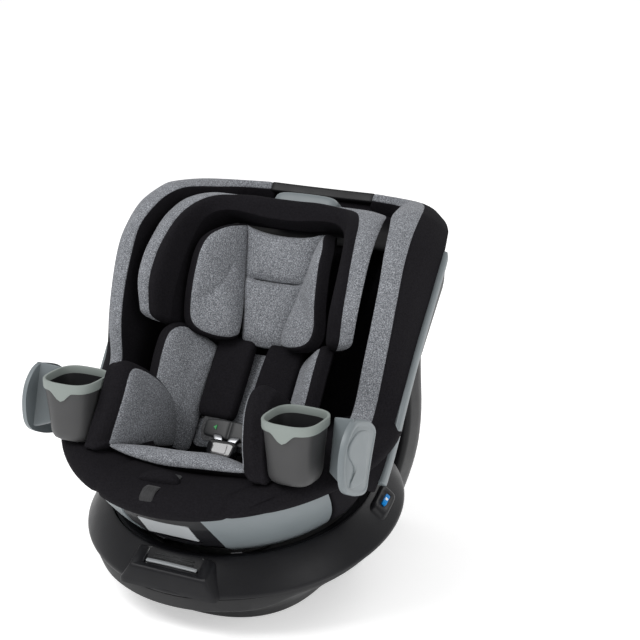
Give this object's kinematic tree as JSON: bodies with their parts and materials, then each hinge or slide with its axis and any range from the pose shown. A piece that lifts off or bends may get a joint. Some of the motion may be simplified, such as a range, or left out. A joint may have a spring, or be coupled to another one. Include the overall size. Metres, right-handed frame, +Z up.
{
  "type": "convertible car seat",
  "caption": "Rotating child car seat: wedge base with rear arm, tilted turntable, reclining bucket seat, sliding winged headrest, harness, inserts and cup holders.",
  "frame": {"origin": "centre of the base's flat underside, on the floor, below the swivel", "axes": "+Z up; -Y is the side that the seat faces, the rear arm stands at +Y; +X is the seated child's left"},
  "size_m": [0.489, 0.6042, 0.5207],
  "materials": {
    "base_black": "satin moulded",
    "gloss_black": "glossy moulded",
    "dark_grey": "fine moulded texture",
    "shell_grey": "fine moulded texture",
    "handle_grey": "satin moulded",
    "cup_charcoal": "satin moulded",
    "cup_ring_sage": "satin moulded",
    "black_knit": "knitted cover over foam",
    "heather_knit": "heathered knit over foam",
    "webbing": "woven webbing",
    "steel": "brushed",
    "panel_metal": "satin, ribbed",
    "rubber": "matt",
    "indicator_blue": "clear tinted lens",
    "release_red": "satin moulded"
  },
  "bodies": {
    "base": {"base_tray": "dark_grey", "base_deck": "base_black", "lever_pod": "base_black", "arm_shell": "base_black", "arm_cap": "gloss_black", "arm_belt_panel": "panel_metal", "level_indicator_left": "indicator_blue", "level_indicator_right": "indicator_blue", "foot_pad_front": "rubber", "foot_pad_rear_left": "rubber", "foot_pad_rear_right": "rubber", "turntable_bearing": "steel", "swivel_spindle": "steel"},
    "rotation_lever": {"rotation_lever": "handle_grey"},
    "rotation_lock_pin": {"rotation_lock_pin": "steel"},
    "turntable": {"turntable_dish": "base_black", "recline_rail_left": "steel", "recline_rail_right": "steel"},
    "seat": {"seat_bowl": "base_black", "side_panel_left": "shell_grey", "side_panel_right": "shell_grey", "front_panel": "gloss_black", "wing_pad_left": "heather_knit", "wing_pad_right": "heather_knit", "side_trim_left": "shell_grey", "side_trim_right": "shell_grey", "back_shell": "base_black", "back_pad": "black_knit", "seat_pad": "black_knit", "seat_apron": "black_knit", "torso_bolster_left": "heather_knit", "torso_bolster_right": "heather_knit", "thigh_bolster_left": "heather_knit", "thigh_bolster_right": "heather_knit", "insert_back": "heather_knit", "insert_seat": "heather_knit", "shoulder_pad_left": "black_knit", "shoulder_pad_right": "black_knit", "shoulder_strap_left": "webbing", "shoulder_strap_right": "webbing", "chest_clip": "dark_grey", "buckle": "dark_grey", "harness_adjuster": "dark_grey", "adjuster_strap": "webbing", "belt_guide_left": "shell_grey", "belt_guide_right": "shell_grey"},
    "recline_handle": {"recline_handle": "handle_grey"},
    "headrest": {"headrest_pad": "black_knit", "headrest_wing_left": "heather_knit", "headrest_wing_right": "heather_knit", "head_pillow": "heather_knit", "headrest_core": "base_black"},
    "headrest_lever": {"headrest_lever": "handle_grey"},
    "chest_clip_button": {"chest_clip_button": "gloss_black"},
    "buckle_button": {"buckle_button": "release_red"},
    "adjuster_button": {"adjuster_button": "release_red"},
    "cup_left": {"cup_holder_left": "cup_charcoal", "cup_ring_left": "cup_ring_sage"},
    "cup_right": {"cup_holder_right": "cup_charcoal", "cup_ring_right": "cup_ring_sage"}
  },
  "joints": [
    {"name": "swivel", "type": "hinge", "parent": "base", "child": "turntable", "pos_m": [0, 0, 0.108], "axis": [0, -0.2079, 0.9781], "continuous": true},
    {"name": "recline", "type": "hinge", "parent": "turntable", "child": "seat", "pos_m": [0, -0.04221, 0.30656], "axis": [1, 0, 0], "range_deg": [0, 18]},
    {"name": "headrest_height", "type": "slide", "parent": "seat", "child": "headrest", "axis": [0, 0.5878, 0.809], "range_m": [0, 0.12]},
    {"name": "headrest_lever_lift", "type": "hinge", "parent": "headrest", "child": "headrest_lever", "pos_m": [0, 0.18107, 0.48117], "axis": [-1, 0, 0], "range_deg": [0, 14], "stiffness_Nm_per_rad": 0.05, "springref_deg": -28.65},
    {"name": "recline_handle_pull", "type": "slide", "parent": "seat", "child": "recline_handle", "axis": [0, -0.7461, -0.6659], "range_m": [0, 0.0035], "stiffness_N_per_m": 300, "springref_m": -0.004},
    {"name": "rotation_lever_pull", "type": "slide", "parent": "base", "child": "rotation_lever", "axis": [0, -0.9781, -0.2079], "range_m": [0, 0.004], "stiffness_N_per_m": 300, "springref_m": -0.004},
    {"name": "rotation_lock_draw", "type": "slide", "parent": "base", "child": "rotation_lock_pin", "axis": [0, 0.2079, -0.9781], "range_m": [0, 0.012]},
    {"name": "chest_clip_button_press", "type": "slide", "parent": "seat", "child": "chest_clip_button", "axis": [0, 0.809, -0.5878], "range_m": [0, 0.003], "stiffness_N_per_m": 150, "springref_m": -0.003},
    {"name": "buckle_button_press", "type": "slide", "parent": "seat", "child": "buckle_button", "axis": [0, 0.809, -0.5878], "range_m": [0, 0.003], "stiffness_N_per_m": 150, "springref_m": -0.003},
    {"name": "adjuster_button_press", "type": "slide", "parent": "seat", "child": "adjuster_button", "axis": [0, 0.2079, -0.9781], "range_m": [0, 0.0015], "stiffness_N_per_m": 150, "springref_m": -0.003},
    {"name": "cup_left_lift", "type": "slide", "parent": "seat", "child": "cup_left", "axis": [0, 0, 1], "range_m": [0, 0.05]},
    {"name": "cup_right_lift", "type": "slide", "parent": "seat", "child": "cup_right", "axis": [0, 0, 1], "range_m": [0, 0.05]}
  ],
  "couplings": [
    {"joint": "rotation_lock_draw", "follows": "rotation_lever_pull", "ratio": 3}
  ]
}
